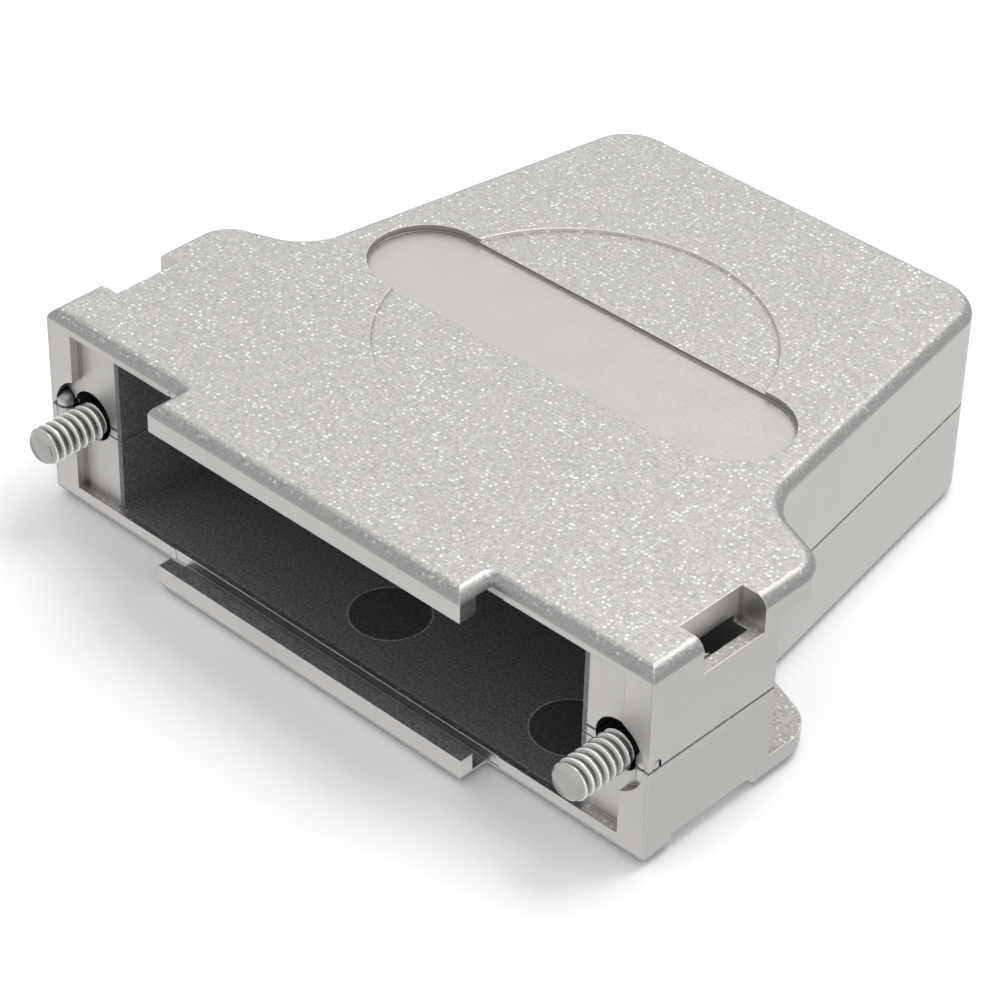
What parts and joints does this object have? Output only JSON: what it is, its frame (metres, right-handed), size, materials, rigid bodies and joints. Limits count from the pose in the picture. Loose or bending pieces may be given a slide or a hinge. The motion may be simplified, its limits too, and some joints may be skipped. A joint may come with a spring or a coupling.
{
  "type": "d-sub hood",
  "caption": "Die-cast metal hood for a straight-exit D-sub connector, with captive jackscrews, closing screws and a cable strap",
  "frame": {"origin": "middle of the face that the connector flange seats on, between the jackscrews", "axes": "X across the connector, +Y towards the cable, +Z towards the label side"},
  "size_m": [0.0534, 0.0492, 0.015],
  "materials": {
    "shell": "satin",
    "screw": "polished"
  },
  "bodies": {
    "hood": {"upper_shell": "shell", "lower_shell": "shell", "left_closing_screw": "screw", "right_closing_screw": "screw", "left_strap_screw": "screw", "right_strap_screw": "screw"},
    "left_washer": {"left_washer": "screw"},
    "right_washer": {"right_washer": "screw"},
    "left_jackscrew": {"left_jackscrew": "screw"},
    "right_jackscrew": {"right_jackscrew": "screw"},
    "strap": {"cable_strap": "screw"}
  },
  "joints": [
    {"name": "left_travel", "type": "slide", "parent": "hood", "child": "left_washer", "axis": [0, 1, 0], "range_m": [0, 0.0025]},
    {"name": "right_travel", "type": "slide", "parent": "hood", "child": "right_washer", "axis": [0, 1, 0], "range_m": [0, 0.0025]},
    {"name": "left_turn", "type": "hinge", "parent": "left_washer", "child": "left_jackscrew", "pos_m": [-0.02352, 0, -0.00038], "axis": [0, 1, 0], "continuous": true},
    {"name": "right_turn", "type": "hinge", "parent": "right_washer", "child": "right_jackscrew", "pos_m": [0.02352, 0, -0.00038], "axis": [0, 1, 0], "continuous": true},
    {"name": "strap_drop", "type": "slide", "parent": "hood", "child": "strap", "axis": [0, 0, -1], "range_m": [0, 0.0024]}
  ]
}
